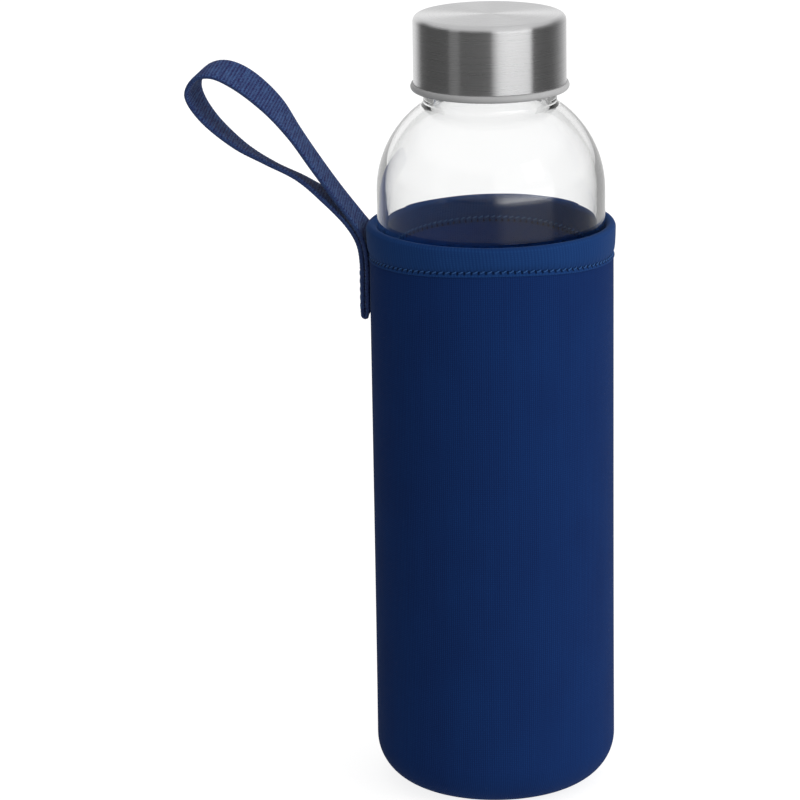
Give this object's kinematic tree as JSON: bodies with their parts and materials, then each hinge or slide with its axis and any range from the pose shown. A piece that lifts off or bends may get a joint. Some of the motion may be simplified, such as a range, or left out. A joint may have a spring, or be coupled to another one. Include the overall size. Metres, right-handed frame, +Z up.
{
  "type": "glass water bottle",
  "caption": "Clear glass bottle with a domed shoulder and brushed steel screw cap, in a stitched navy neoprene sleeve with a webbing wrist loop.",
  "frame": {"origin": "centre of the sleeve's flat underside", "axes": "+Z up along the bottle, -X towards the wrist loop"},
  "size_m": [0.1201, 0.069, 0.22],
  "materials": {
    "sleeve_knit": "fine navy polyester knit, bonded to foam",
    "binding_knit": "navy knit strip, a little lighter than the sleeve's face",
    "neoprene_foam": "matt closed-cell foam",
    "lining_knit": "dark navy knit lining",
    "sewing_thread": "navy polyester sewing thread",
    "webbing": "ribbed indigo webbing",
    "clear_glass": "clear, polished",
    "seal_silicone": "translucent white silicone",
    "insert_plastic": "light grey, satin",
    "cap_steel": "brushed round the side and in circles on top"
  },
  "bodies": {
    "sleeve": {"sleeve_outer_knit": "sleeve_knit", "sleeve_foam": "neoprene_foam", "sleeve_lining": "lining_knit", "base_outer_knit": "sleeve_knit", "base_foam": "neoprene_foam", "base_lining": "lining_knit", "hem_binding": "binding_knit", "hem_stitching": "sewing_thread", "side_seam_stitching": "sewing_thread", "base_seam_stitching": "sewing_thread", "strap_anchor": "webbing", "strap_stitching": "sewing_thread"},
    "loop": {"strap_loop": "webbing"},
    "bottle": {"bottle_glass": "clear_glass"},
    "seal": {"cap_seal": "seal_silicone"},
    "cap": {"cap_insert": "insert_plastic", "cap_shell": "cap_steel"}
  },
  "joints": [
    {"name": "bottle_slide", "type": "slide", "parent": "sleeve", "child": "bottle", "axis": [0, 0, 1], "range_m": [0, 0.17]},
    {"name": "cap_rise", "type": "slide", "parent": "bottle", "child": "seal", "axis": [0, 0, 1], "range_m": [0, 0.0262]},
    {"name": "cap_turn", "type": "hinge", "parent": "seal", "child": "cap", "pos_m": [0, 0, 0.21], "axis": [0, 0, 1], "range_deg": [0, 2340]},
    {"name": "loop_swing", "type": "hinge", "parent": "sleeve", "child": "loop", "pos_m": [-0.0372, 0, 0.1512], "axis": [0, -1, 0], "range_deg": [0, 125]}
  ],
  "couplings": [
    {"joint": "cap_rise", "follows": "cap_turn", "m_per_rad": 0.00063662}
  ]
}
